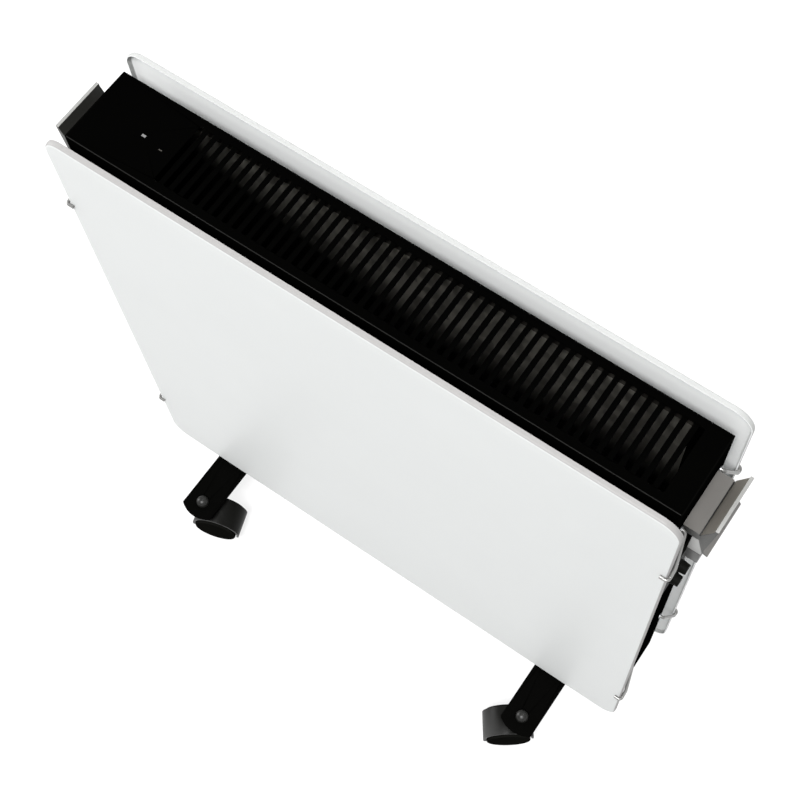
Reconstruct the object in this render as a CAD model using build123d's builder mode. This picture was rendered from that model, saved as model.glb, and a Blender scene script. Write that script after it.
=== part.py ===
from build123d import *
from math import cos, radians, sin
import os

# Free-standing convector heater: a slim slotted casing between two larger outer panels, a formed
# handle on each end, two foot bars and four hooded twin-wheel casters.
# +X runs along the length, -Y is the front, +Z is up, and the origin is on the floor under the middle.
# All sizes are in millimetres.

os.makedirs("parts", exist_ok=True)

# ---- casing
casing_width = 600.0
casing_depth = 79.0
casing_height = 620.0
casing_sheet = 1.2
fold_radius = 2.0
return_flange = 12.0
end_cap_sheet = 1.2
end_cap_flange = 14.0
sheet_gap = 0.2
fold_clearance = 1.0

# ---- slotted air outlet in the casing's top, and intake in its bottom
slot_width = 5.2
slot_corner = 1.4
slot_pitch = 10.1
slot_end_margin = 8.5
outlet_left_margin = 88.0
outlet_right_margin = 21.4
intake_end_margin = 17.5
intake_pitch = 12.0
intake_side_margin = 100.0

# ---- outer panels
panel_overlap = 9.5
panel_overlap_height = 4.0
panel_depth = 5.5
panel_sheet = 1.2
panel_corner = 20.0
panel_rim_radius = 2.4
panel_standoff = 11.5
panel_rise = 11.0
spacer_radius = 7.0
spacer_inset_x = 70.0
spacer_inset_z = 90.0

# ---- wire hooks on the panels' side edges
hook_wire = 3.3
hook_bend = 2.8
hook_tip = 7.5
hook_rise = 43.0
hook_edge_gap = 0.05
hook_back_reach = 4.7
hook_turn_reach = 18.5
hook_below_web_top = 3.0
lower_hook_lift = 99.0
hook_inner_x = 4.5
hook_end_depth = 2.5
hook_beside_handle = 3.2
socket_radius = 2.9
socket_height = 1.5
socket_bore_gap = 0.1

# ---- handles
handle_inset = 12.5
handle_drop = 47.0
web_reach = 16.0
web_thickness = 12.0
lip_rise = 23.5
lip_reach = 28.0
lip_width = 3.0
waist_reach = 22.6
waist_drop = 29.0
toe_reach = 27.3
toe_drop = 36.5
toe_width = 5.2
toe_lift = 2.2
slit_width = 1.2
slit_depth = 2.4
saddle_sheet = 2.5
saddle_inner_x = 9.5
saddle_gap = 0.4
cheek_thickness = 9.5
cheek_height = 50.0
cheek_nose_height = 27.0
cheek_groove = 1.5
saddle_screw_y = 8.0
handle_screw_y = 16.0

# ---- controls on the right end
control_drop = 234.0
knob_pitch = 13.2
knob_radius = 6.2
knob_face_radius = 5.3
knob_length = 8.8
knob_edge = 0.6
bezel_width = 46.0
bezel_height = 66.0
bezel_thickness = 3.0
bezel_corner = 6.0
bezel_edge = 1.0
knob_gap = 0.4
spindle_radius = 2.5
spindle_gap = 0.06
spindle_length = 22.0
bush_radius = 3.8
bush_gap = 0.2
switch_depth = 28.0
switch_gap = 0.4
switch_height = 34.0

# ---- indicator lenses in the top
power_lens_inset = 55.5
power_lens_y = -2.5
power_lens_length = 4.0
power_lens_width = 2.3
heat_lens_inset = 75.8
heat_lens_y = -5.9
heat_lens_length = 3.4
heat_lens_width = 0.9
lens_proud = 0.4
lens_flange = 1.2
lens_gap = 0.1

# ---- heating parts inside
element_height = 105.0
element_end_gap = 40.0
element_core_radius = 7.0
heating_rod_radius = 4.5
rod_gap = 0.1
rod_overhang = 22.0
fin_spacing = 32.0
fin_length = 26.0
fin_clearance = 6.0
fin_thickness = 1.6
fin_angle = 35.0
bracket_sheet = 1.2
bracket_height = 44.0
bracket_foot = 10.0
baffle_sheet = 0.8
baffle_end_gap = 32.0
baffle_height = 545.0
baffle_lift = 62.0
baffle_gap = 5.3
cutout_radius = 8.0
cutout_height = 6.0
cutout_x = 60.0
cutout_lift = 232.0
tip_switch_depth = 26.0
tip_switch_width = 18.0
tip_switch_height = 32.0
tip_switch_lift = 60.0
terminal_depth = 18.0
terminal_width = 30.0
terminal_height = 22.0
terminal_lift = 52.0
terminal_count = 3

# ---- cord inlet in the bottom
gland_inset = 36.0
gland_bore_radius = 3.8
gland_radius = 6.5
gland_flange_radius = 9.5
gland_flange = 2.6
gland_below = 11.5
gland_above = 13.0
gland_nut_height = 4.0

# ---- foot bars
bar_width = 40.5
bar_half_length = 124.5
bar_bow = 7.0
bar_thickness = 3.0
bar_inset = 74.0
foot_screw_x = 12.0

# ---- casters
caster_height = 65.0
caster_inset = 12.5
caster_trail = 14.8
wheel_radius = 25.0
wheel_width = 12.1
wheel_edge = 1.5
wheel_dish_radius = 21.0
wheel_dish = 0.6
web_half = 6.0
well_gap = 1.3
wheel_side_gap = 0.4
hood_half_width = 16.0
hood_shell = 2.6
lip_height = 16.0
mouth_height = 24.0
hood_hub_radius = 7.0
axle_radius = 3.0
axle_gap = 0.06
axle_reach = 6.4
stem_radius = 3.95
stem_gap = 0.05
stem_bottom = 33.0
stem_thread_radius = 5.0
stem_washer_radius = 8.0
stem_washer = 2.0
swivel_radius = 9.0
swivel_gap = 0.3
front_left_heading = 18.0
front_right_heading = 216.0
nut_radius = 7.2
nut_skirt = 2.0
nut_height = 8.6
nut_thread_depth = 5.4

# ---- fasteners
screw_radius = 2.0
screw_head_radius = 4.0
screw_head = 2.4
screw_clearance = 0.2
hex_nut_radius = 4.0
hex_nut_height = 3.2
screw_past_nut = 1.4
casing_screw_length = 6.0
handle_screw_length = 11.0
saddle_screw_length = 9.0

# ---- places worked out from the sizes above
casing_bottom = caster_height + bar_thickness
casing_top = casing_bottom + casing_height
casing_mid_z = (casing_bottom + casing_top) / 2
wrap_length = casing_width - 2 * end_cap_sheet
inner_depth = casing_depth - 2 * casing_sheet
inner_height = casing_height - 2 * casing_sheet
end_inner_x = wrap_length / 2
end_flange_x = end_inner_x - end_cap_flange
intake_width = casing_depth - 2 * return_flange
floor_plate_bottom = casing_bottom + casing_sheet
floor_plate_top = floor_plate_bottom + casing_sheet
floor_plate_length = 2 * (end_flange_x - 1)
slot_depth_cut = 2 * casing_sheet
slot_length = casing_depth - 2 * slot_end_margin
outlet_room = casing_width - outlet_left_margin - outlet_right_margin - slot_width
slot_count = int(outlet_room / slot_pitch) + 1
outlet_span = slot_width + (slot_count - 1) * slot_pitch
outlet_centre_x = casing_width / 2 - outlet_right_margin - outlet_span / 2
intake_slot_length = casing_depth - 2 * intake_end_margin
intake_count = int((casing_width - 2 * intake_side_margin) / intake_pitch)
power_lens_x = power_lens_inset - casing_width / 2
heat_lens_x = heat_lens_inset - casing_width / 2

panel_width = casing_width + 2 * panel_overlap
panel_height = casing_height + panel_overlap_height
panel_back_y = casing_depth / 2 + panel_standoff
panel_face_y = panel_back_y + panel_depth
panel_mid_z = casing_top + panel_rise - panel_height / 2
hook_radius = hook_wire / 2

handle_length = casing_depth - 2 * handle_inset
web_top = casing_top - handle_drop
web_bottom = web_top - web_thickness
hook_inner_y = handle_length / 2 + hook_beside_handle
hook_turn_y = hook_inner_y + hook_turn_reach
hook_heights = (web_top - hook_below_web_top - hook_rise, casing_bottom + lower_hook_lift)
hook_ends = [(face * hook_inner_y, z + hook_rise) for face in (-1, 1) for z in hook_heights]
control_z = casing_top - control_drop
knob_ys = (knob_pitch / 2, -knob_pitch / 2)
switch_width = knob_pitch - 2 * switch_gap
element_z = casing_bottom + element_height
element_length = casing_width - 2 * element_end_gap
fin_count = int(element_length / fin_spacing)
baffle_length = casing_width - 2 * baffle_end_gap
baffle_y = inner_depth / 2 - baffle_gap
fin_span = 2 * (baffle_y - fin_clearance)
gland_x = casing_width / 2 - gland_inset

bar_x = casing_width / 2 - bar_inset
foot_screw_y = (casing_depth - return_flange) / 2
caster_y = bar_half_length - caster_inset
rear_right_heading = front_left_heading + 180
rear_left_heading = front_right_heading - 180
hood_radius = wheel_radius + well_gap + hood_shell
swivel_top = caster_height - stem_washer - swivel_gap

caster_places = {
    "front_left": (-bar_x, -caster_y, front_left_heading),
    "front_right": (bar_x, -caster_y, front_right_heading),
    "rear_left": (-bar_x, caster_y, rear_left_heading),
    "rear_right": (bar_x, caster_y, rear_right_heading),
}
stem_points = [(x, y, 0) for x, y, heading in caster_places.values()]

foot_screw_points = [
    (side * bar_x + across * foot_screw_x, face * foot_screw_y)
    for side in (-1, 1)
    for across in (-1, 1)
    for face in (-1, 1)
]

CENTRED_DOWN = (Align.CENTER, Align.CENTER, Align.MAX)
CENTRED_UP = (Align.CENTER, Align.CENTER, Align.MIN)


def save(part, name):
    part.label = name
    export_step(part, f"parts/{name}.step")


def add_screw(length):
    """A pan-head screw along local Z: the head above the local origin, the shank below it."""
    Cylinder(screw_radius, length, align=CENTRED_DOWN)
    Cylinder(screw_head_radius, screw_head, align=CENTRED_UP)


def add_screw_hole(depth):
    Cylinder(screw_radius + screw_clearance, depth, mode=Mode.SUBTRACT)


def casing_screw_places():
    """Outward-pointing places on the casing's front and rear, over the end caps' inner flanges."""
    screw_x = end_inner_x - end_cap_flange / 2
    heights = (casing_bottom + 40, casing_mid_z, casing_top - 40)
    return [
        Location((side * screw_x, face * casing_depth / 2, z), (-90 * face, 0, 0))
        for side in (-1, 1)
        for face in (-1, 1)
        for z in heights
    ]


def handle_screw_places(side):
    """Screws from inside the end cap into the handle's web, heads on the inside."""
    z = web_top - web_thickness / 2
    return [
        Location((side * end_inner_x, y, z), (0, -90 * side, 0))
        for y in (-handle_screw_y, handle_screw_y)
    ]


def saddle_screw_places(side):
    """Screws from below, through the saddle's plate into the handle's web."""
    x = side * (casing_width / 2 + (saddle_inner_x + web_reach) / 2)
    z = web_bottom - saddle_sheet
    return [Location((x, y, z), (180, 0, 0)) for y in (-saddle_screw_y, saddle_screw_y)]


# ---------------------------------------------------------------- casing
with BuildPart() as casing_wrap:
    with BuildSketch(Plane.YZ.offset(-wrap_length / 2)):
        with Locations((0, casing_mid_z)):
            RectangleRounded(casing_depth, casing_height, fold_radius)
            RectangleRounded(inner_depth, inner_height, fold_radius - casing_sheet, mode=Mode.SUBTRACT)
        with Locations((0, casing_bottom)):
            Rectangle(intake_width, 2 * slot_depth_cut, mode=Mode.SUBTRACT)
    extrude(amount=wrap_length)
    with BuildSketch(Plane.XY.offset(casing_top)):
        with Locations((outlet_centre_x, 0)):
            with GridLocations(slot_pitch, slot_pitch, slot_count, 1):
                RectangleRounded(slot_width, slot_length, slot_corner)
        with Locations((power_lens_x, power_lens_y)):
            Rectangle(power_lens_length + 2 * lens_gap, power_lens_width + 2 * lens_gap)
        with Locations((heat_lens_x, heat_lens_y)):
            Rectangle(heat_lens_length + 2 * lens_gap, heat_lens_width + 2 * lens_gap)
    extrude(amount=-slot_depth_cut, mode=Mode.SUBTRACT)
    with Locations(*casing_screw_places()):
        add_screw_hole(4 * casing_sheet)
    with Locations(*[(x, y, casing_bottom) for x, y in foot_screw_points]):
        add_screw_hole(4 * casing_sheet)
save(casing_wrap.part, "casing_wrap")


def build_end_cap(side):
    flange_depth = inner_depth - 2 * sheet_gap
    flange_height = inner_height - 2 * sheet_gap
    with BuildPart() as end_cap:
        with BuildSketch(Plane.YZ.offset(side * end_inner_x)):
            with Locations((0, casing_mid_z)):
                RectangleRounded(casing_depth, casing_height, fold_radius)
        extrude(amount=side * end_cap_sheet)
        with BuildSketch(Plane.YZ.offset(side * end_inner_x)):
            with Locations((0, casing_mid_z)):
                RectangleRounded(flange_depth, flange_height, fold_clearance)
                Rectangle(
                    flange_depth - 2 * end_cap_sheet,
                    flange_height - 2 * end_cap_sheet,
                    mode=Mode.SUBTRACT,
                )
        extrude(amount=-side * end_cap_flange)
        with Locations(*casing_screw_places()):
            add_screw_hole(8 * casing_sheet)
        with Locations(*handle_screw_places(side)):
            add_screw_hole(4 * end_cap_sheet)
        with Locations(*[Location((side * end_inner_x, y, z), (0, 90, 0)) for y, z in hook_ends]):
            Cylinder(hook_radius + socket_bore_gap, 4 * end_cap_sheet, mode=Mode.SUBTRACT)
        if side > 0:
            with Locations(*[Location((end_inner_x, y, control_z), (0, 90, 0)) for y in knob_ys]):
                Cylinder(bush_radius + bush_gap, 4 * end_cap_sheet, mode=Mode.SUBTRACT)
    return end_cap.part


save(build_end_cap(-1), "left_end_cap")
save(build_end_cap(1), "right_end_cap")

with BuildPart() as bottom_grille:
    with BuildSketch(Plane.XY.offset(floor_plate_bottom)):
        Rectangle(floor_plate_length, inner_depth - 2 * fold_clearance)
        with GridLocations(intake_pitch, intake_pitch, intake_count, 1):
            RectangleRounded(slot_width, intake_slot_length, slot_corner, mode=Mode.SUBTRACT)
        with Locations((gland_x, 0)):
            Circle(gland_radius + screw_clearance, mode=Mode.SUBTRACT)
        with Locations(*foot_screw_points):
            Circle(screw_radius + screw_clearance, mode=Mode.SUBTRACT)
    extrude(amount=casing_sheet)
save(bottom_grille.part, "bottom_grille")

with BuildPart() as casing_screws:
    with Locations(*casing_screw_places()):
        add_screw(casing_screw_length)
save(casing_screws.part, "casing_screws")


# ---------------------------------------------------------------- outer panels
def build_panel(face):
    """A shallow tray of sheet, open towards the casing, with rounded corners and a rolled rim."""
    with BuildPart() as panel:
        with BuildSketch(Plane.XZ.offset(-face * panel_back_y)):
            with Locations((0, panel_mid_z)):
                RectangleRounded(panel_width, panel_height, panel_corner)
        extrude(amount=-face * panel_depth)
        outward = Axis((0, 0, 0), (0, face, 0))
        fillet(panel.faces().sort_by(outward)[-1].edges(), panel_rim_radius)
        offset(amount=-panel_sheet, openings=panel.faces().sort_by(outward)[0])
    return panel.part


def build_spacers(face):
    """Four round pads between the casing's face and the inside of a panel."""
    length = panel_standoff + panel_depth - panel_sheet
    spots_x = casing_width - 2 * spacer_inset_x
    spots_z = casing_height - 2 * spacer_inset_z
    with BuildPart() as spacers:
        with BuildSketch(Plane.XZ.offset(-face * casing_depth / 2)):
            with Locations((0, casing_mid_z)):
                with GridLocations(spots_x, spots_z, 2, 2):
                    Circle(spacer_radius)
        extrude(amount=-face * length)
    return spacers.part


def hook_route(side, face, z):
    """The wire's corners: tip on the panel's face, round its edge, up and into the end cap's socket."""
    edge_x = panel_width / 2 + hook_edge_gap + hook_radius
    tip_y = panel_face_y + hook_edge_gap + hook_radius
    back_y = tip_y - hook_back_reach
    inner_x = casing_width / 2 + hook_inner_x
    end_x = casing_width / 2 - hook_end_depth
    turn_rise = hook_rise * (back_y - hook_turn_y) / (back_y - hook_inner_y)
    return [
        (side * (edge_x - hook_tip), face * tip_y, z),
        (side * edge_x, face * tip_y, z),
        (side * edge_x, face * back_y, z),
        (side * edge_x, face * hook_turn_y, z + turn_rise),
        (side * inner_x, face * hook_inner_y, z + hook_rise),
        (side * end_x, face * hook_inner_y, z + hook_rise),
    ]


def build_hooks(face):
    with BuildPart() as hooks:
        for side in (-1, 1):
            for z in hook_heights:
                with BuildLine() as route:
                    FilletPolyline(*hook_route(side, face, z), radius=hook_bend)
                with BuildSketch(Plane(origin=route.line @ 0, z_dir=route.line % 0)):
                    Circle(hook_radius)
                sweep()
    return hooks.part


for face, word in ((-1, "front"), (1, "rear")):
    save(build_panel(face), f"{word}_panel")
    save(build_spacers(face), f"{word}_panel_spacers")
    save(build_hooks(face), f"{word}_panel_hooks")

with BuildPart() as hook_sockets:
    for side in (-1, 1):
        with BuildSketch(Plane.YZ.offset(side * casing_width / 2)):
            with Locations(*hook_ends):
                Circle(socket_radius)
                Circle(hook_radius + socket_bore_gap, mode=Mode.SUBTRACT)
        extrude(amount=side * socket_height)
save(hook_sockets.part, "hook_sockets")


# ---------------------------------------------------------------- handles
def end_points(side, outline):
    """Points (out from the casing's end, up from the handle's web) as (x, z)."""
    return [(side * (casing_width / 2 + out), web_top + up) for out, up in outline]


def build_handle(side):
    """A web standing out from the end, with a lip that rises outside it and a toe that flares below."""
    outline = [
        (0, 0),
        (web_reach, 0),
        (lip_reach - lip_width, lip_rise - lip_width),
        (lip_reach - lip_width, lip_rise),
        (lip_reach, lip_rise),
        (waist_reach, -waist_drop),
        (toe_reach, -toe_drop),
        (toe_reach - toe_width, toe_lift - toe_drop),
        (web_reach, -web_thickness),
        (0, -web_thickness),
    ]
    with BuildPart() as handle:
        with BuildSketch(Plane.XZ):
            with BuildLine():
                Polyline(*end_points(side, outline), close=True)
            make_face()
        extrude(amount=handle_length / 2, both=True)
        with Locations((side * (casing_width / 2 + web_reach - slit_width / 2), 0, web_top)):
            Box(slit_width, handle_length, 2 * slit_depth, mode=Mode.SUBTRACT)
        with Locations(*handle_screw_places(side)):
            Cylinder(screw_radius, 2 * handle_screw_length, mode=Mode.SUBTRACT)
        with Locations(*saddle_screw_places(side)):
            Cylinder(screw_radius, 2 * saddle_screw_length, mode=Mode.SUBTRACT)
    return handle.part


def build_saddle(side):
    """The bracket under the web: a plate with a rounded, grooved cheek at each end of the handle."""
    slope_x = web_reach - saddle_gap
    slope_foot_x = toe_reach - toe_width - saddle_gap
    cheek_outline = [
        (saddle_inner_x, -web_thickness),
        (slope_x, -web_thickness),
        (slope_foot_x, toe_lift - toe_drop),
        (slope_foot_x, -web_thickness - cheek_height),
        (saddle_inner_x, -web_thickness - cheek_height),
    ]
    plate_mid_x = casing_width / 2 + (saddle_inner_x + slope_x) / 2
    nose_bottom = web_bottom - cheek_nose_height
    cheek_y = handle_length / 2
    nose_mid_y = cheek_y - 0.28 * cheek_thickness
    with BuildPart() as saddle:
        with Locations((side * plate_mid_x, 0, web_bottom)):
            Box(slope_x - saddle_inner_x, handle_length - 2 * cheek_thickness, saddle_sheet,
                align=CENTRED_DOWN)
        for face in (-1, 1):
            with BuildSketch(Plane.XZ.offset(-face * cheek_y)):
                with BuildLine():
                    Polyline(*end_points(side, cheek_outline), close=True)
                make_face()
            extrude(amount=face * cheek_thickness)
            with BuildSketch(Plane.YZ.offset(casing_width / 2 * side)):
                with BuildLine():
                    Line((face * (cheek_y + 1), nose_bottom), (face * cheek_y, nose_bottom))
                    ThreePointArc(
                        (face * cheek_y, nose_bottom),
                        (face * nose_mid_y, web_bottom - cheek_nose_height / 3),
                        (face * (cheek_y - cheek_thickness + saddle_sheet), web_bottom),
                    )
                    Polyline(
                        (face * (cheek_y - cheek_thickness + saddle_sheet), web_bottom),
                        (face * (cheek_y - cheek_thickness + saddle_sheet), web_bottom + 1),
                        (face * (cheek_y + 1), web_bottom + 1),
                        (face * (cheek_y + 1), nose_bottom),
                    )
                make_face()
            extrude(amount=side * lip_reach, mode=Mode.SUBTRACT)
            with Locations((side * plate_mid_x, face * cheek_y, nose_bottom - cheek_groove)):
                Box(lip_reach, 2 * cheek_groove, cheek_groove, mode=Mode.SUBTRACT)
        with Locations(*saddle_screw_places(side)):
            add_screw_hole(4 * saddle_sheet)
    return saddle.part


for side, word in ((-1, "left"), (1, "right")):
    save(build_handle(side), f"{word}_handle")
    save(build_saddle(side), f"{word}_handle_saddle")

with BuildPart() as handle_screws:
    for side in (-1, 1):
        with Locations(*handle_screw_places(side)):
            add_screw(handle_screw_length)
        with Locations(*saddle_screw_places(side)):
            add_screw(saddle_screw_length)
save(handle_screws.part, "handle_screws")


# ---------------------------------------------------------------- controls
bezel_x = casing_width / 2 + bezel_thickness

with BuildPart() as control_bezel:
    with BuildSketch(Plane.YZ.offset(casing_width / 2)):
        with Locations((0, control_z)):
            RectangleRounded(bezel_width, bezel_height, bezel_corner)
            with Locations(*[(y, 0) for y in knob_ys]):
                Circle(bush_radius + bush_gap, mode=Mode.SUBTRACT)
    extrude(amount=bezel_thickness)
    outer_rim = control_bezel.faces().sort_by(Axis.X)[-1].outer_wire()
    chamfer(outer_rim.edges(), bezel_edge)
save(control_bezel.part, "control_bezel")


def build_knob(y):
    """A small tapered knob with a flat outer face, a pointer groove and a bore for its spindle."""
    with BuildPart() as knob:
        with BuildSketch(Plane.YZ.offset(bezel_x + knob_gap)):
            with Locations((y, control_z)):
                Circle(knob_radius)
        with BuildSketch(Plane.YZ.offset(bezel_x + knob_gap + knob_length)):
            with Locations((y, control_z)):
                Circle(knob_face_radius)
        loft()
        fillet(knob.faces().sort_by(Axis.X)[-1].edges(), knob_edge)
        with Locations((bezel_x + knob_gap + knob_length, y, control_z)):
            Box(2 * knob_edge, knob_edge, knob_face_radius,
                align=(Align.CENTER, Align.CENTER, Align.MIN), mode=Mode.SUBTRACT)
        with Locations(Location((bezel_x + knob_gap, y, control_z), (0, 90, 0))):
            Cylinder(spindle_radius, knob_length, mode=Mode.SUBTRACT)
    return knob.part


def build_spindle(y):
    with BuildPart() as spindle:
        outer_x = bezel_x + knob_gap + knob_length / 2
        with Locations(Location((outer_x, y, control_z), (0, 90, 0))):
            Cylinder(spindle_radius, spindle_length, align=CENTRED_DOWN)
    return spindle.part


def build_switch_body(y):
    """The block inside the end cap, with the threaded bush that the spindle turns in."""
    with BuildPart() as body:
        with Locations((end_inner_x, y, control_z)):
            Box(switch_depth, switch_width, switch_height,
                align=(Align.MAX, Align.CENTER, Align.CENTER))
        with Locations(Location((end_inner_x, y, control_z), (0, 90, 0))):
            Cylinder(bush_radius, bezel_x - end_inner_x, align=CENTRED_UP)
            Cylinder(spindle_radius + spindle_gap, 2 * spindle_length, mode=Mode.SUBTRACT)
    return body.part


for y, word in zip(knob_ys, ("thermostat", "selector")):
    save(build_knob(y), f"{word}_knob")
    save(build_spindle(y), f"{word}_spindle")
    save(build_switch_body(y), f"{word}_body")


def build_lens(x, y, length, width):
    """A lens standing just proud of the top, with a flange under the sheet."""
    height = casing_sheet + lens_proud
    with BuildPart() as lens:
        with Locations((x, y, casing_top + lens_proud)):
            Box(length, width, height, align=CENTRED_DOWN)
        fillet(lens.faces().sort_by(Axis.Z)[-1].edges(), lens_proud / 2)
        with Locations((x, y, casing_top - casing_sheet)):
            Box(length + 2 * lens_flange, width + 2 * lens_flange, lens_flange, align=CENTRED_DOWN)
    return lens.part


save(build_lens(power_lens_x, power_lens_y, power_lens_length, power_lens_width), "power_lens")
save(build_lens(heat_lens_x, heat_lens_y, heat_lens_length, heat_lens_width), "heat_lens")


# ---------------------------------------------------------------- heating parts
with BuildPart() as heating_element:
    with BuildSketch(Plane.YZ.offset(-element_length / 2)):
        with Locations((0, element_z)):
            Circle(element_core_radius)
            Circle(heating_rod_radius + rod_gap, mode=Mode.SUBTRACT)
    extrude(amount=element_length)
    fin_pitch = element_length / fin_count
    fin_reach = (fin_span - heating_rod_radius) / 2 - 2 * rod_gap - 1
    for index in range(fin_count):
        x = (index + 0.5) * fin_pitch - element_length / 2
        for angle in (fin_angle, -fin_angle, 180 - fin_angle, 180 + fin_angle):
            reach = element_core_radius - 1 + fin_reach / 2
            y = reach * cos(radians(angle))
            z = element_z + reach * sin(radians(angle))
            with Locations(Location((x, y, z), (angle, 0, 0))):
                Box(fin_length, fin_reach, fin_thickness)
save(heating_element.part, "heating_element")

rod_length = element_length + 2 * rod_overhang
with BuildPart() as heating_rod:
    with Locations(Location((0, 0, element_z), (0, 90, 0))):
        Cylinder(heating_rod_radius, rod_length)
    fillet(heating_rod.faces().filter_by(Axis.X).edges(), rod_overhang / 20)
save(heating_rod.part, "heating_rod")

with BuildPart() as element_brackets:
    bracket_x = (element_length + rod_overhang) / 2
    for side in (-1, 1):
        with Locations((side * bracket_x, 0, element_z)):
            Box(bracket_sheet, inner_depth - 2 * sheet_gap, bracket_height)
        for face in (-1, 1):
            foot_y = face * (inner_depth / 2 - sheet_gap)
            foot_align = (Align.MIN if side > 0 else Align.MAX,
                          Align.MAX if face > 0 else Align.MIN, Align.CENTER)
            with Locations((side * (bracket_x - bracket_sheet / 2), foot_y, element_z)):
                Box(bracket_foot, bracket_sheet, bracket_height, align=foot_align)
        with Locations(Location((side * bracket_x, 0, element_z), (0, 90, 0))):
            Cylinder(heating_rod_radius + rod_gap, 4 * bracket_sheet, mode=Mode.SUBTRACT)
save(element_brackets.part, "element_brackets")


def build_baffle(face):
    """A bright inner shield, folded back to the casing along its top and bottom."""
    bottom = casing_bottom + baffle_lift
    fold_depth = inner_depth / 2 - sheet_gap - baffle_y
    middle = bottom + baffle_height / 2
    with BuildPart() as baffle:
        with Locations((0, face * (baffle_y + baffle_sheet / 2), middle)):
            Box(baffle_length, baffle_sheet, baffle_height)
        for z in (bottom + baffle_sheet / 2, bottom + baffle_height - baffle_sheet / 2):
            with Locations((0, face * (baffle_y + fold_depth / 2), z)):
                Box(baffle_length, fold_depth, baffle_sheet)
    return baffle.part


save(build_baffle(-1), "front_baffle")
save(build_baffle(1), "rear_baffle")

with BuildPart() as thermal_cutout:
    cutout_z = casing_bottom + cutout_lift
    with Locations(Location((cutout_x, baffle_y, cutout_z), (90, 0, 0))):
        Cylinder(cutout_radius, cutout_height, align=CENTRED_UP)
        Box(3 * cutout_radius, cutout_radius, casing_sheet, align=CENTRED_UP)
        Cylinder(cutout_radius / 2, cutout_height + casing_sheet, align=CENTRED_UP)
save(thermal_cutout.part, "thermal_cutout")

with BuildPart() as tip_switch:
    with Locations((-end_inner_x, 0, casing_bottom + tip_switch_lift)):
        Box(tip_switch_depth, tip_switch_width, tip_switch_height,
            align=(Align.MIN, Align.CENTER, Align.MIN))
    fillet(tip_switch.edges().filter_by(Axis.Z), bezel_edge)
    with Locations((-end_inner_x + tip_switch_depth / 2, 0,
                    casing_bottom + tip_switch_lift + tip_switch_height)):
        Cylinder(tip_switch_width / 3, tip_switch_width / 6, align=CENTRED_UP)
save(tip_switch.part, "tip_switch")

with BuildPart() as terminal_block:
    terminal_z = casing_bottom + terminal_lift
    with Locations((end_inner_x, 0, terminal_z)):
        Box(terminal_depth, terminal_width, terminal_height,
            align=(Align.MAX, Align.CENTER, Align.MIN))
    terminal_pitch = terminal_width / terminal_count
    for index in range(terminal_count):
        y = (index + 0.5) * terminal_pitch - terminal_width / 2
        with Locations((end_inner_x - terminal_depth, y, terminal_z + terminal_height / 2)):
            Box(terminal_pitch / 2, terminal_pitch / 2, terminal_pitch / 2, mode=Mode.SUBTRACT)
        with Locations((end_inner_x - terminal_depth / 2, y, terminal_z + terminal_height)):
            Cylinder(terminal_pitch / 3, terminal_pitch / 5, mode=Mode.SUBTRACT)
save(terminal_block.part, "terminal_block")

with BuildPart() as cord_gland:
    with Locations((gland_x, 0, floor_plate_bottom - gland_below - gland_flange)):
        Cylinder(gland_radius, gland_below, align=CENTRED_UP)
    with BuildSketch(Plane.XY.offset(floor_plate_bottom - gland_flange)):
        with Locations((gland_x, 0)):
            RegularPolygon(gland_flange_radius, 6)
    extrude(amount=gland_flange)
    with Locations((gland_x, 0, floor_plate_bottom)):
        Cylinder(gland_radius, gland_above, align=CENTRED_UP)
    with BuildSketch(Plane.XY.offset(floor_plate_top)):
        with Locations((gland_x, 0)):
            RegularPolygon(gland_flange_radius, 6)
    extrude(amount=gland_nut_height)
    with Locations((gland_x, 0, floor_plate_bottom)):
        Cylinder(gland_bore_radius, 4 * gland_above, mode=Mode.SUBTRACT)
save(cord_gland.part, "cord_gland")


# ---------------------------------------------------------------- foot bars and their fasteners
def build_foot_bar(side):
    half = bar_width / 2
    tip = bar_half_length + bar_bow
    with BuildPart() as foot_bar:
        with BuildSketch(Plane((side * bar_x, 0, caster_height))):
            with BuildLine():
                ThreePointArc((-half, -bar_half_length), (0, -tip), (half, -bar_half_length))
                Line((half, -bar_half_length), (half, bar_half_length))
                ThreePointArc((half, bar_half_length), (0, tip), (-half, bar_half_length))
                Line((-half, bar_half_length), (-half, -bar_half_length))
            make_face()
            with Locations((0, -caster_y), (0, caster_y)):
                Circle(stem_thread_radius + screw_clearance, mode=Mode.SUBTRACT)
            with GridLocations(2 * foot_screw_x, 2 * foot_screw_y, 2, 2):
                Circle(screw_radius + screw_clearance, mode=Mode.SUBTRACT)
        extrude(amount=bar_thickness)
    return foot_bar.part


save(build_foot_bar(-1), "left_foot_bar")
save(build_foot_bar(1), "right_foot_bar")

with BuildPart() as foot_screws:
    shank = floor_plate_top + hex_nut_height + screw_past_nut - caster_height
    with Locations(*[Location((x, y, caster_height), (180, 0, 0)) for x, y in foot_screw_points]):
        add_screw(shank)
save(foot_screws.part, "foot_screws")

with BuildPart() as foot_nuts:
    with BuildSketch(Plane.XY.offset(floor_plate_top)):
        with Locations(*foot_screw_points):
            RegularPolygon(hex_nut_radius, 6)
            Circle(screw_radius, mode=Mode.SUBTRACT)
    extrude(amount=hex_nut_height)
save(foot_nuts.part, "foot_nuts")

with BuildPart() as caster_stems:
    with Locations(*stem_points):
        with Locations((0, 0, stem_bottom)):
            Cylinder(stem_radius, caster_height - stem_bottom, align=CENTRED_UP)
        with Locations((0, 0, caster_height)):
            Cylinder(stem_washer_radius, stem_washer, align=CENTRED_DOWN)
            Cylinder(stem_thread_radius, bar_thickness + nut_thread_depth - swivel_gap,
                     align=CENTRED_UP)
save(caster_stems.part, "caster_stems")

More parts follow.
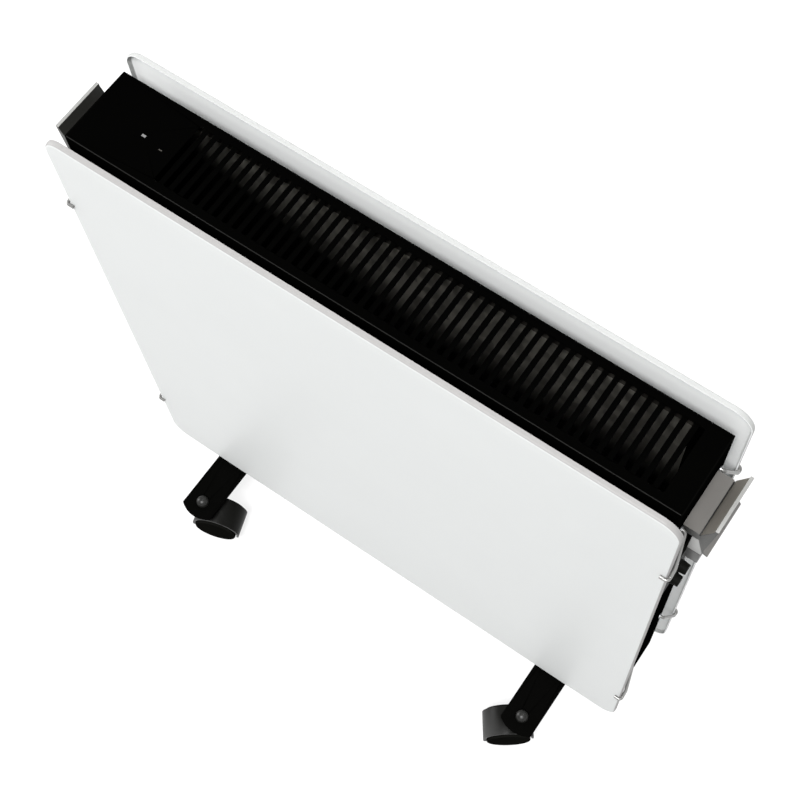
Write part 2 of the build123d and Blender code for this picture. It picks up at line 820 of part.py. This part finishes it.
with BuildPart() as stem_nuts:
    with Locations(*[(x, y, casing_bottom) for x, y, _ in stem_points]):
        Cylinder(nut_radius, nut_height, align=CENTRED_UP)
    domed_edges = stem_nuts.edges().group_by(Axis.Z)[-1]
    fillet(domed_edges, nut_height - nut_skirt)
    with Locations(*[(x, y, casing_bottom) for x, y, _ in stem_points]):
        Cylinder(stem_thread_radius, nut_thread_depth, align=CENTRED_UP, mode=Mode.SUBTRACT)
save(stem_nuts.part, "stem_nuts")


# ---------------------------------------------------------------- casters
def caster_plane(x, y, heading):
    """Upright plane through the stem: local x trails away from it, local y is up."""
    trail_way = (cos(radians(heading)), sin(radians(heading)), 0)
    side_way = (sin(radians(heading)), -cos(radians(heading)), 0)
    return Plane(origin=(x, y, 0), x_dir=trail_way, z_dir=side_way)


def build_hood(x, y, heading):
    """Shell over both wheels with a web between them, a hub for the axle and a swivel boss."""
    middle = caster_plane(x, y, heading)
    axle_point = (caster_trail, wheel_radius)
    behind = caster_trail + hood_radius + 1
    ahead = caster_trail - hood_radius - 1
    with BuildPart() as hood:
        with BuildSketch(middle):
            with Locations(axle_point):
                Circle(hood_radius)
        extrude(amount=hood_half_width, both=True)
        with Locations((x, y, wheel_radius)):
            Cylinder(swivel_radius, swivel_top - wheel_radius, align=CENTRED_UP)
        for way in (-1, 1):
            with BuildSketch(middle.offset(way * web_half)):
                with Locations(axle_point):
                    Circle(wheel_radius + well_gap)
            extrude(amount=way * hood_half_width, mode=Mode.SUBTRACT)
        with BuildSketch(middle):
            with BuildLine():
                Polyline((ahead, -hood_radius), (behind, -hood_radius), (behind, lip_height),
                         (ahead, mouth_height), close=True)
            make_face()
        extrude(amount=2 * hood_half_width, both=True, mode=Mode.SUBTRACT)
        with BuildSketch(middle):
            with Locations(axle_point):
                Circle(hood_hub_radius)
        extrude(amount=web_half, both=True)
        with BuildSketch(middle):
            with Locations(axle_point):
                Circle(axle_radius)
        extrude(amount=2 * web_half, both=True, mode=Mode.SUBTRACT)
        with Locations((x, y, stem_bottom - swivel_gap)):
            Cylinder(stem_radius + stem_gap, caster_height, align=CENTRED_UP, mode=Mode.SUBTRACT)
    return hood.part


def build_axle(x, y, heading):
    with BuildPart() as axle:
        with BuildSketch(caster_plane(x, y, heading)):
            with Locations((caster_trail, wheel_radius)):
                Circle(axle_radius)
        extrude(amount=web_half + axle_reach, both=True)
    return axle.part


def build_wheel(x, y, heading, way):
    """A solid wheel with a rounded outer rim, a dished face and a blind bore from the inside."""
    inner = caster_plane(x, y, heading).offset(way * (web_half + wheel_side_gap))
    outer = inner.offset(way * wheel_width)
    axle_point = (caster_trail, wheel_radius)
    with BuildPart() as wheel:
        with BuildSketch(inner):
            with Locations(axle_point):
                Circle(wheel_radius)
        extrude(amount=way * wheel_width)
        across = Axis(inner.origin, inner.z_dir)
        rims = wheel.edges().sort_by(across)
        fillet(rims[-1] if way > 0 else rims[0], wheel_edge)
        with BuildSketch(outer):
            with Locations(axle_point):
                Circle(wheel_dish_radius)
        extrude(amount=-way * wheel_dish, mode=Mode.SUBTRACT)
        with BuildSketch(inner):
            with Locations(axle_point):
                Circle(axle_radius + axle_gap)
        extrude(amount=way * (axle_reach + wheel_side_gap), mode=Mode.SUBTRACT)
    return wheel.part


for corner, place in caster_places.items():
    save(build_hood(*place), f"{corner}_caster_hood")
    save(build_axle(*place), f"{corner}_caster_axle")
    save(build_wheel(*place, 1), f"{corner}_wheel_a")
    save(build_wheel(*place, -1), f"{corner}_wheel_b")
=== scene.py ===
from math import radians

import bmesh
import bpy
from mathutils import Matrix, Vector


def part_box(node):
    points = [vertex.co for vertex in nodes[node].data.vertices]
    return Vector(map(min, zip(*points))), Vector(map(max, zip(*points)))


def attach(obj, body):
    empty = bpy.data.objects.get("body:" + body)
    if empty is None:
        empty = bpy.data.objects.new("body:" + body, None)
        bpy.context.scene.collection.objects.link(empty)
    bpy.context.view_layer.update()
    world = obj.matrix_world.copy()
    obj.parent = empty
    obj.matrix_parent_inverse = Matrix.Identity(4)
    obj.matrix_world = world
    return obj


# A free-standing convector heater: white outer panels on wire hooks, a slotted black casing,
# aluminium handles, and foot bars on hooded twin-wheel casters. Everything is in metres.

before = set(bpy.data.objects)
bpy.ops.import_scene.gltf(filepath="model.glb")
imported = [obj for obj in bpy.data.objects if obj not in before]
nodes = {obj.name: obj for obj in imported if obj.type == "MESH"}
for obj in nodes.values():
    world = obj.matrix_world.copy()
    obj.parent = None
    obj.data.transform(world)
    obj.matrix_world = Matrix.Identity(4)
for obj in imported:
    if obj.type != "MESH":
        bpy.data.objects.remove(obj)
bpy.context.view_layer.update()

CORNERS = ("front_left", "front_right", "rear_left", "rear_right")
MM = 0.001


# ---------------------------------------------------------------- node helpers
def new_material(name):
    material = bpy.data.materials.new(name)
    material.use_nodes = True
    tree = material.node_tree
    shader = tree.nodes["Principled BSDF"]
    return material, tree, shader


def object_position(tree, stretch=(1, 1, 1)):
    """Position in the object's own frame, in metres, stretched for grain that runs one way."""
    source = tree.nodes.new("ShaderNodeTexCoord")
    mapping = tree.nodes.new("ShaderNodeMapping")
    mapping.inputs["Scale"].default_value = stretch
    tree.links.new(source.outputs["Object"], mapping.inputs["Vector"])
    return mapping.outputs["Vector"]


def noise(tree, position, scale, detail=3.0, roughness=0.5):
    node = tree.nodes.new("ShaderNodeTexNoise")
    node.inputs["Scale"].default_value = scale
    node.inputs["Detail"].default_value = detail
    node.inputs["Roughness"].default_value = roughness
    tree.links.new(position, node.inputs["Vector"])
    return node.outputs["Fac"]


def cells(tree, position, scale):
    """Patches of irregular outline, each with a random shade of its own."""
    node = tree.nodes.new("ShaderNodeTexVoronoi")
    node.inputs["Scale"].default_value = scale
    tree.links.new(position, node.inputs["Vector"])
    return node.outputs["Color"]


def remap(tree, value, low, high, to_low, to_high):
    node = tree.nodes.new("ShaderNodeMapRange")
    node.inputs["From Min"].default_value = low
    node.inputs["From Max"].default_value = high
    node.inputs["To Min"].default_value = to_low
    node.inputs["To Max"].default_value = to_high
    tree.links.new(value, node.inputs["Value"])
    return node.outputs["Result"]


def calculate(tree, operation, *values):
    """One step of arithmetic on values that are numbers or outputs of other nodes."""
    node = tree.nodes.new("ShaderNodeMath")
    node.operation = operation
    for socket, value in zip(node.inputs, values):
        if isinstance(value, (int, float)):
            socket.default_value = value
        else:
            tree.links.new(value, socket)
    return node.outputs["Value"]


def coordinates(tree, kind):
    """The X, Y and Z of a place on the object, or of the way that its surface or a light ray looks."""
    source = tree.nodes.new("ShaderNodeTexCoord")
    parts = tree.nodes.new("ShaderNodeSeparateXYZ")
    tree.links.new(source.outputs[kind], parts.inputs["Vector"])
    return parts.outputs


def blend_colours(tree, factor, first, second):
    node = tree.nodes.new("ShaderNodeMix")
    node.data_type = "RGBA"
    node.inputs["A"].default_value = (*first, 1)
    node.inputs["B"].default_value = (*second, 1)
    tree.links.new(factor, node.inputs["Factor"])
    return node.outputs["Result"]


def bump(tree, shader, height, strength, distance):
    node = tree.nodes.new("ShaderNodeBump")
    node.inputs["Strength"].default_value = strength
    node.inputs["Distance"].default_value = distance
    tree.links.new(height, node.inputs["Height"])
    tree.links.new(node.outputs["Normal"], shader.inputs["Normal"])


def colour_between(tree, shader, factor, first, second):
    tree.links.new(blend_colours(tree, factor, first, second), shader.inputs["Base Color"])


def rough_between(tree, shader, factor, low, high):
    """Roughness from low to high over the middle part of a noise, where most of it lies."""
    tree.links.new(remap(tree, factor, 0.3, 0.7, low, high), shader.inputs["Roughness"])


# ---------------------------------------------------------------- kinds of material
def make_powder_coat(name, dark, light, roughness, grain, specular):
    """Powder-coated sheet steel: a fine orange-peel surface over a slightly uneven tone."""
    material, tree, shader = new_material(name)
    position = object_position(tree)
    tone = noise(tree, position, scale=9, detail=4)
    peel = noise(tree, position, scale=grain, detail=2)
    colour_between(tree, shader, tone, dark, light)
    rough_between(tree, shader, peel, roughness - 0.05, roughness + 0.07)
    shader.inputs["Specular IOR Level"].default_value = specular
    bump(tree, shader, peel, strength=0.22, distance=0.12 * MM)
    return material


def make_plastic(name, dark, light, roughness, grain, specular=0.5):
    """Moulded plastic with a fine spark-eroded grain and faint rubbed patches."""
    material, tree, shader = new_material(name)
    position = object_position(tree)
    rubbed = noise(tree, position, scale=38, detail=4)
    pits = noise(tree, position, scale=grain, detail=2, roughness=0.7)
    colour_between(tree, shader, rubbed, dark, light)
    rough_between(tree, shader, rubbed, roughness - 0.06, roughness + 0.08)
    shader.inputs["Specular IOR Level"].default_value = specular
    bump(tree, shader, pits, strength=0.3, distance=0.1 * MM)
    return material


def make_metal(name, dark, light, roughness, grain, stretch=(1, 1, 1), metallic=1.0):
    """Metal with a grain, longest along the axis whose stretch is least, and faint clouds of tone."""
    material, tree, shader = new_material(name)
    lines = noise(tree, object_position(tree, stretch), scale=grain, detail=5, roughness=0.6)
    clouds = noise(tree, object_position(tree), scale=22, detail=3)
    colour_between(tree, shader, clouds, dark, light)
    rough_between(tree, shader, lines, roughness - 0.07, roughness + 0.09)
    shader.inputs["Metallic"].default_value = metallic
    bump(tree, shader, lines, strength=0.12, distance=0.08 * MM)
    return material


def make_galvanised(name):
    """Galvanised sheet with its irregular spangle, browned by heat."""
    material, tree, shader = new_material(name)
    spangle = cells(tree, object_position(tree), scale=70)
    colour_between(tree, shader, spangle, (0.3, 0.288, 0.258), (0.5, 0.482, 0.43))
    rough_between(tree, shader, spangle, 0.34, 0.5)
    shader.inputs["Metallic"].default_value = 0.9
    return material


def make_lens(name, dark, light):
    """A small moulded lens, milky, with a gloss skin."""
    material, tree, shader = new_material(name)
    position = object_position(tree)
    colour_between(tree, shader, noise(tree, position, scale=400, detail=2), dark, light)
    rough_between(tree, shader, noise(tree, position, scale=900, detail=2), 0.12, 0.22)
    shader.inputs["Coat Weight"].default_value = 0.4
    return material


# ---------------------------------------------------------------- places for painted light and shade, and for a second tone
# Sizes of the handles, as they are in the solids.
handle_low, handle_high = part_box("right_handle")
lip_rise = 23.5 * MM
lip_crest = handle_high.z - 0.3 * MM
web_top = handle_high.z - lip_rise
web_reach = 16 * MM
web_end = handle_low.x + web_reach
slit_width = 1.2 * MM
slit_depth = 2.4 * MM

# Each cheek of a saddle has a round nose over a groove.
saddle_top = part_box("right_handle_saddle")[1].z
nose_height = 27 * MM
groove_height = 1.5 * MM

# The inner shields are painted from their own colour to near-black shadow between two depths under the
# casing's top.
casing_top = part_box("casing_wrap")[1].z
unshaded_depth = 80 * MM
shaded_depth = 148 * MM
shadow_slope = 0.37


# Each function gives a value for a material: one in its place, and nought outside it.
def above(tree, height, softness=0.3 * MM):
    heights = coordinates(tree, "Object")["Z"]
    return remap(tree, heights, height - softness, height + softness, 0, 1)


def lip_crest_painted_highlight(tree):
    """Along the upper edge of a handle's lip, where a lighter strip is painted as a highlight."""
    return above(tree, lip_crest)


def over_saddle_groove(tree):
    """On a saddle's plate and on the round noses of its cheeks."""
    return above(tree, saddle_top - nose_height - groove_height)


def facing(tree, axis, low, high):
    """By how much the surface looks along an axis: nought at the low share, one at the high."""
    return remap(tree, coordinates(tree, "Normal")[axis], low, high, 0, 1)


def facing_right(tree):
    """Flat on to the right, bends left out."""
    return facing(tree, "X", 0.7, 0.9)


def facing_left(tree):
    """Half to the left or more."""
    return facing(tree, "X", -0.4, -0.6)


def facing_front(tree):
    """More and more to the front, with no sharp border."""
    return facing(tree, "Y", -0.15, -0.9)


def facing_up(tree):
    """On edges and flanges that look up."""
    return facing(tree, "Z", 0.6, 0.8)


def facing_front_or_rear(tree):
    """Flat on to the front or the rear."""
    share = calculate(tree, "ABSOLUTE", coordinates(tree, "Normal")["Y"])
    return remap(tree, share, 0.8, 0.95, 0, 1)


def rim_painted_shade(tree):
    """On the rim round a front or rear face, where a darker tone is painted as shade."""
    return remap(tree, facing_front_or_rear(tree), 0, 1, 1, 0)


def top_edge_painted_highlight(tree):
    """Along the middle of the rounded edges between the top and the sides, where a highlight is painted."""
    rise = coordinates(tree, "Normal")["Z"]
    off_upright = remap(tree, rise, 0.55, 0.65, 0, 1)
    off_level = remap(tree, rise, 0.85, 0.75, 0, 1)
    return calculate(tree, "MULTIPLY", off_upright, off_level)


def between(tree, value, low, high):
    """One from the low limit to the high one, with a soft step of 0.2 mm at each."""
    step = 0.1 * MM
    over_low = remap(tree, value, low - step, low + step, 0, 1)
    under_high = remap(tree, value, high - step, high + step, 1, 0)
    return calculate(tree, "MULTIPLY", over_low, under_high)


def slit_painted_shade(tree):
    """In the slit between a handle's web and its lip, on its floor and both its walls: painted shade."""
    place = coordinates(tree, "Object")
    reach = calculate(tree, "ABSOLUTE", place["X"])
    wall_margin = 0.2 * MM
    floor_margin = 0.3 * MM
    across = between(tree, reach, web_end - slit_width - wall_margin, web_end + wall_margin)
    upwards = between(tree, place["Z"], web_top - slit_depth - floor_margin, web_top - wall_margin)
    return calculate(tree, "MULTIPLY", across, upwards)


def deep_or_left_painted_shadow(tree):
    """Painted shadow deep inside the casing, up to a soft border that rises towards its left end."""
    place = coordinates(tree, "Object")
    left_half = calculate(tree, "MINIMUM", place["X"], 0)
    fall = calculate(tree, "MULTIPLY", left_half, shadow_slope)
    height = calculate(tree, "ADD", fall, place["Z"])
    return remap(tree, height, casing_top - shaded_depth, casing_top - unshaded_depth, 1, 0)


def tone_where(material, place, colour):
    """Puts another colour over a material's own in a place."""
    tree = material.node_tree
    shader = tree.nodes["Principled BSDF"]
    lower = shader.inputs["Base Color"].links[0].from_socket
    node = tree.nodes.new("ShaderNodeMix")
    node.data_type = "RGBA"
    tree.links.new(place(tree), node.inputs["Factor"])
    tree.links.new(lower, node.inputs["A"])
    node.inputs["B"].default_value = (*colour, 1)
    tree.links.new(node.outputs["Result"], shader.inputs["Base Color"])


# ---------------------------------------------------------------- finishes
# Each material's colour varies between a darker and a lighter shade.
front_enamel = make_powder_coat(
    "front_enamel", (0.69, 0.705, 0.7), (0.72, 0.735, 0.73), roughness=0.45, grain=900, specular=0.3
)
# Painted shade: the rim round the panel's faces is darker than the faces.
tone_where(front_enamel, rim_painted_shade, (0.32, 0.314, 0.31))

# Painted light: the rear panel's enamel is much lighter than the front's, standing in for light that its
# inner face loses behind the front panel and casing.
rear_enamel_painted_light = make_powder_coat(
    "rear_enamel_painted_light", (0.94, 0.955, 0.95), (0.95, 0.965, 0.96), roughness=0.45, grain=900, specular=0.3
)
# Painted shade on the rear panel's rim, as on the front one's.
tone_where(rear_enamel_painted_light, rim_painted_shade, (0.43, 0.437, 0.43))

black_enamel = make_powder_coat(
    "black_enamel", (0.0012, 0.0012, 0.0011), (0.002, 0.002, 0.0018), roughness=0.6, grain=1300, specular=0
)
casing_enamel = make_powder_coat(
    "casing_enamel", (0.0006, 0.0006, 0.00055), (0.001, 0.001, 0.0009), roughness=0.6, grain=1300, specular=0
)
# Painted highlight: a lighter line along the middle of the casing's rounded top edges.
tone_where(casing_enamel, top_edge_painted_highlight, (0.022, 0.022, 0.021))

black_plastic = make_plastic(
    "black_plastic", (0.005, 0.005, 0.0045), (0.009, 0.009, 0.008), roughness=0.5, grain=2600, specular=0.02
)
nut_plastic = make_plastic(
    "nut_plastic", (0.006, 0.006, 0.0055), (0.009, 0.009, 0.008), roughness=0.42, grain=2600, specular=0.4
)
wheel_plastic = make_plastic(
    "wheel_plastic", (0.004, 0.004, 0.0035), (0.0065, 0.0065, 0.0057), roughness=0.5, grain=1900, specular=0
)
pale_plastic = make_plastic(
    "pale_plastic", (0.66, 0.66, 0.6), (0.74, 0.74, 0.69), roughness=0.45, grain=1800
)
hood_plastic = make_plastic(
    "hood_plastic", (0.0035, 0.0035, 0.003), (0.0055, 0.0055, 0.005),
    roughness=0.36, grain=2600, specular=0.08,
)
# Painted highlight: the hoods are lighter on surfaces that face the front.
tone_where(hood_plastic, facing_front, (0.075, 0.075, 0.074))

saddle_plastic = make_plastic(
    "saddle_plastic", (0.055, 0.055, 0.055), (0.08, 0.08, 0.077), roughness=0.45, grain=2200
)
tone_where(saddle_plastic, over_saddle_groove, (0.34, 0.34, 0.335))

# Two copies of one handle metal, differing only in the painted light on their inner sides. Both get painted
# shade on their end faces and in the slit, and a painted highlight along the lip's crest.
handle_metals = {}
for side, inner_face, inner_painted_shading in (
    ("left", facing_right, (0.03, 0.03, 0.027)),
    ("right", facing_left, (0.45, 0.42, 0.37)),
):
    metal = make_metal(
        f"{side}_handle_metal", (0.125, 0.119, 0.112), (0.15, 0.144, 0.135),
        roughness=0.42, grain=2200, stretch=(1, 0.04, 1), metallic=0.15,
    )
    # Painted shade: the front and rear end faces are darker than the rest of the handle.
    tone_where(metal, facing_front_or_rear, (0.055, 0.055, 0.052))
    # Painted highlight along the upper edge of the lip.
    tone_where(metal, lip_crest_painted_highlight, (0.3, 0.3, 0.29))
    # Painted shade on the left handle's inner side, painted light on the right one's.
    tone_where(metal, inner_face, inner_painted_shading)
    # Painted shade in the slit between the web and the lip.
    tone_where(metal, slit_painted_shade, (0.006, 0.006, 0.005))
    handle_metals[side] = metal

bright_wire = make_metal(
    "bright_wire", (0.22, 0.22, 0.215), (0.31, 0.308, 0.3), roughness=0.38, grain=900, metallic=0.7
)
zinc_steel = make_metal(
    "zinc_steel", (0.4, 0.41, 0.42), (0.56, 0.57, 0.58), roughness=0.34, grain=1200
)
element_metal = make_metal(
    "element_metal", (0.05, 0.047, 0.042), (0.08, 0.075, 0.066),
    roughness=0.5, grain=1500, stretch=(0.05, 1, 1),
)
rod_metal = make_metal(
    "rod_metal", (0.16, 0.15, 0.14), (0.26, 0.24, 0.22), roughness=0.45, grain=1500, stretch=(0.05, 1, 1)
)

galvanised = make_galvanised("galvanised")
# Painted shadow: the shields turn near-black deep in the casing and towards its left end.
tone_where(galvanised, deep_or_left_painted_shadow, (0.004, 0.004, 0.0035))
# Painted shade: up-facing edges and flanges of the shields are darker.
tone_where(galvanised, facing_up, (0.03, 0.028, 0.024))

white_lens = make_lens("white_lens", (0.15, 0.15, 0.15), (0.2, 0.2, 0.2))
amber_lens = make_lens("amber_lens", (0.04, 0.037, 0.033), (0.06, 0.055, 0.048))

finishes = {
    "front_panel": front_enamel,
    "rear_panel": rear_enamel_painted_light,
    "casing_wrap": casing_enamel,
    "left_end_cap": black_enamel,
    "right_end_cap": black_enamel,
    "bottom_grille": black_enamel,
    "hook_sockets": zinc_steel,
    "left_foot_bar": black_enamel,
    "right_foot_bar": black_enamel,
    "stem_nuts": nut_plastic,
    "casing_screws": black_enamel,
    "front_panel_hooks": bright_wire,
    "rear_panel_hooks": bright_wire,
    "left_handle": handle_metals["left"],
    "right_handle": handle_metals["right"],
    "left_handle_saddle": saddle_plastic,
    "right_handle_saddle": saddle_plastic,
    "control_bezel": black_plastic,
    "thermostat_knob": black_plastic,
    "selector_knob": black_plastic,
    "thermostat_body": black_plastic,
    "selector_body": black_plastic,
    "cord_gland": black_plastic,
    "front_panel_spacers": black_plastic,
    "rear_panel_spacers": black_plastic,
    "tip_switch": black_plastic,
    "terminal_block": pale_plastic,
    "power_lens": white_lens,
    "heat_lens": amber_lens,
    "heating_element": element_metal,
    "heating_rod": rod_metal,
    "element_brackets": galvanised,
    "front_baffle": galvanised,
    "rear_baffle": galvanised,
    "thermal_cutout": zinc_steel,
    "thermostat_spindle": zinc_steel,
    "selector_spindle": zinc_steel,
    "foot_screws": zinc_steel,
    "foot_nuts": zinc_steel,
    "handle_screws": zinc_steel,
    "caster_stems": zinc_steel,
}
for corner in CORNERS:
    finishes[f"{corner}_caster_hood"] = hood_plastic
    finishes[f"{corner}_caster_axle"] = zinc_steel
    finishes[f"{corner}_wheel_a"] = wheel_plastic
    finishes[f"{corner}_wheel_b"] = wheel_plastic

# Millimetres of small rounding on the edges of the nodes that have some.
edge_rounding = {
    "casing_wrap": 0.35,
    "left_end_cap": 0.3,
    "right_end_cap": 0.3,
    "front_panel": 0.25,
    "rear_panel": 0.25,
    "left_handle": 0.35,
    "right_handle": 0.35,
    "left_handle_saddle": 0.6,
    "right_handle_saddle": 0.6,
    "left_foot_bar": 0.5,
    "right_foot_bar": 0.5,
    "thermostat_knob": 0.25,
    "selector_knob": 0.25,
    "terminal_block": 0.4,
    "foot_screws": 0.3,
    "handle_screws": 0.3,
    "casing_screws": 0.3,
    "caster_stems": 0.2,
    "hook_sockets": 0.3,
}
for corner in CORNERS:
    edge_rounding[f"{corner}_caster_hood"] = 0.35


def dress(node_name):
    """Gives a CAD node its finish, smooth shading, and the small rounding that real edges have."""
    node = nodes[node_name]
    node.data.materials.clear()
    node.data.materials.append(finishes[node_name])
    normals = node.data.attributes.get("custom_normal")
    if normals:
        node.data.attributes.remove(normals)
    for polygon in node.data.polygons:
        polygon.use_smooth = True
    weld = node.modifiers.new("weld", "WELD")
    weld.merge_threshold = 0.002 * MM
    if node_name in edge_rounding:
        bevel = node.modifiers.new("rounding", "BEVEL")
        bevel.width = edge_rounding[node_name] * MM
        bevel.segments = 2
        bevel.limit_method = "ANGLE"
        bevel.angle_limit = radians(40)
    split = node.modifiers.new("sharp_edges", "EDGE_SPLIT")
    split.split_angle = radians(32)


for node_name in nodes:
    dress(node_name)


# ---------------------------------------------------------------- small details
pointer_paint = make_plastic(
    "pointer_paint", (0.5, 0.5, 0.48), (0.6, 0.6, 0.57), roughness=0.5, grain=3000
)
# Painted shade: thin dark crosses laid on the screw heads stand for the shade in each cross recess.
cross_shade_paint = make_plastic(
    "cross_shade_paint", (0.02, 0.02, 0.02), (0.035, 0.035, 0.035), roughness=0.7, grain=2500, specular=0.1
)


def add_block(mesh, size, place):
    """One block of a small piece, with its edges slightly rounded."""
    made = bmesh.ops.create_cube(mesh, size=1)
    bmesh.ops.scale(mesh, vec=size, verts=made["verts"])
    bmesh.ops.translate(mesh, vec=place, verts=made["verts"])
    edges = {edge for vertex in made["verts"] for edge in vertex.link_edges}
    bmesh.ops.bevel(mesh, geom=list(edges), offset=min(size) / 5, segments=2, affect="EDGES")


def finish_piece(name, mesh, material, body):
    """Turns a mesh into a named piece that rides on a body."""
    data = bpy.data.meshes.new(name)
    mesh.to_mesh(data)
    mesh.free()
    piece = bpy.data.objects.new(name, data)
    data.materials.append(material)
    bpy.context.scene.collection.objects.link(piece)
    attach(piece, body)


def add_pointer(knob):
    """The pale line in the knob's pointer groove, from its middle to its top."""
    low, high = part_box(knob)
    middle = (low + high) / 2
    groove_width = 0.6 * MM
    groove_depth = 0.6 * MM
    groove_start = 0.3 * MM
    line_length = 4.8 * MM
    line_sunk = 0.7 * groove_depth
    size = (groove_depth / 2, 0.9 * groove_width, line_length)
    place = (high.x - line_sunk, middle.y, middle.z + groove_start + line_length / 2)
    mesh = bmesh.new()
    add_block(mesh, size, place)
    finish_piece(f"{knob}_pointer", mesh, pointer_paint, knob)


def separate_solids(node_name):
    """The corner places of each solid in a node that holds several."""
    mesh = bmesh.new()
    mesh.from_mesh(nodes[node_name].data)
    bmesh.ops.remove_doubles(mesh, verts=mesh.verts, dist=0.001 * MM)
    waiting = set(mesh.verts)
    solids = []
    while waiting:
        reached = [waiting.pop()]
        places = []
        while reached:
            vertex = reached.pop()
            places.append(vertex.co.copy())
            for edge in vertex.link_edges:
                other = edge.other_vert(vertex)
                if other in waiting:
                    waiting.remove(other)
                    reached.append(other)
        solids.append(places)
    mesh.free()
    return solids


def screw_face(places):
    """The middle of a pan-head screw's outer face, and the axis that it faces along.

    The axis is the one whose size differs most from the other two, which are both the head's width.
    The corners that lie wide of the axis belong to the head, so they tell which end it is on.
    """
    low = Vector([min(place[axis] for place in places) for axis in range(3)])
    high = Vector([max(place[axis] for place in places) for axis in range(3)])
    size = high - low
    axis = max(range(3), key=lambda way: abs(2 * size[way] - size[way - 1] - size[way - 2]))
    middle = (low + high) / 2
    across = Vector([0 if way == axis else 1 for way in range(3)])
    head_width = size[axis - 1]
    head = [place for place in places if ((place - middle) * across).length > 0.35 * head_width]
    head_height = sum(place[axis] for place in head) / len(head)
    middle[axis] = high[axis] if head_height > middle[axis] else low[axis]
    return middle, axis


def add_recesses(node_name):
    """A thin dark cross on the head of each of a node's screws: painted shade where its cross recess would
    be.
    """
    cross_length = 3.6 * MM
    arm_width = 0.8 * MM
    thickness = 0.1 * MM
    mesh = bmesh.new()
    for places in separate_solids(node_name):
        middle, axis = screw_face(places)
        for long_way in (axis - 1, axis - 2):
            size = Vector((arm_width, arm_width, arm_width))
            size[axis] = thickness
            size[long_way] = cross_length
            add_block(mesh, size, middle)
    finish_piece(f"{node_name}_shaded_crosses", mesh, cross_shade_paint, "heater")


for knob in ("thermostat_knob", "selector_knob"):
    add_pointer(knob)
for node_name in ("casing_screws", "handle_screws", "foot_screws"):
    add_recesses(node_name)


# ---------------------------------------------------------------- stage, light and camera
def add_floor():
    """A pale floor: white to the camera and to reflections, and still taking the object's shadow."""
    gap_under_wheels = 0.2 * MM
    bpy.ops.mesh.primitive_plane_add(size=30, location=(0, 0, -gap_under_wheels))
    floor = bpy.context.object
    floor.name = "floor"
    material, tree, shader = new_material("floor_paper")
    mottle = noise(tree, object_position(tree), scale=3, detail=2)
    colour_between(tree, shader, mottle, (0.2, 0.2, 0.2), (0.22, 0.22, 0.22))
    shader.inputs["Roughness"].default_value = 0.9
    shader.inputs["Specular IOR Level"].default_value = 0.1
    ray = tree.nodes.new("ShaderNodeLightPath").outputs
    seen = calculate(tree, "MAXIMUM", ray["Is Camera Ray"], ray["Is Glossy Ray"])
    seen = calculate(tree, "MAXIMUM", seen, ray["Is Transmission Ray"])
    white_lift = 0.78
    lift = calculate(tree, "MULTIPLY", seen, white_lift)
    shader.inputs["Emission Color"].default_value = (1, 1, 1, 1)
    tree.links.new(lift, shader.inputs["Emission Strength"])
    floor.data.materials.append(material)


def add_world():
    """White to the camera; for the light it gives, brighter round the sides than overhead."""
    world = bpy.data.worlds.new("studio")
    bpy.context.scene.world = world
    world.use_nodes = True
    tree = world.node_tree
    background = tree.nodes["Background"]
    rise = coordinates(tree, "Generated")["Z"]
    side_light = 0.46
    top_light = 0.36
    strength = remap(tree, rise, 0.1, 0.9, side_light, top_light)
    ray = tree.nodes.new("ShaderNodeLightPath")
    choose = tree.nodes.new("ShaderNodeMix")
    tree.links.new(ray.outputs["Is Camera Ray"], choose.inputs["Factor"])
    tree.links.new(strength, choose.inputs["A"])
    choose.inputs["B"].default_value = 1.0
    tree.links.new(choose.outputs["Result"], background.inputs["Strength"])
    background.inputs["Color"].default_value = (1, 1, 1, 1)


def add_lamp(name, place, target, size, power):
    """A square soft lamp of a size in metres and a power in watts, turned to its target."""
    lamp = bpy.data.lights.new(name, "AREA")
    lamp.shape = "SQUARE"
    lamp.size = size
    lamp.energy = power
    holder = bpy.data.objects.new(name, lamp)
    holder.location = place
    holder.rotation_mode = "QUATERNION"
    holder.rotation_quaternion = (Vector(target) - Vector(place)).to_track_quat("-Z", "Y")
    bpy.context.scene.collection.objects.link(holder)


def add_camera():
    """The photograph's viewpoint: high over the front right, looking down at the casing's top."""
    data = bpy.data.cameras.new("camera")
    data.lens = 67.83
    data.sensor_width = 36
    data.shift_x = -0.0773
    data.shift_y = -0.0095
    camera = bpy.data.objects.new("camera", data)
    right = Vector((0.8266, 0.5628, -0.0084))
    up = Vector((-0.5115, 0.7573, 0.4060))
    back = right.cross(up)
    turn = Matrix((right, up, back)).transposed()
    place = Vector((0.3803, -0.4324, 1.7493))
    camera.matrix_world = Matrix.Translation(place) @ turn.to_4x4()
    bpy.context.scene.collection.objects.link(camera)
    bpy.context.scene.camera = camera


add_floor()
add_world()
add_lamp("key_softbox", place=(0.9, -3.4, 7.9), target=(0, 0, 0.5), size=2.4, power=950)
add_lamp("right_softbox", place=(3.0, -0.6, 1.6), target=(0, 0, 0.5), size=2.0, power=8)
add_lamp("left_softbox", place=(-3.2, -0.6, 1.1), target=(0, 0, 0.4), size=1.6, power=60)
add_lamp("rear_softbox", place=(-1.0, 4.5, 2.4), target=(0, 0, 0.4), size=2.4, power=150)
add_camera()
bpy.context.scene.view_settings.view_transform = "Standard"
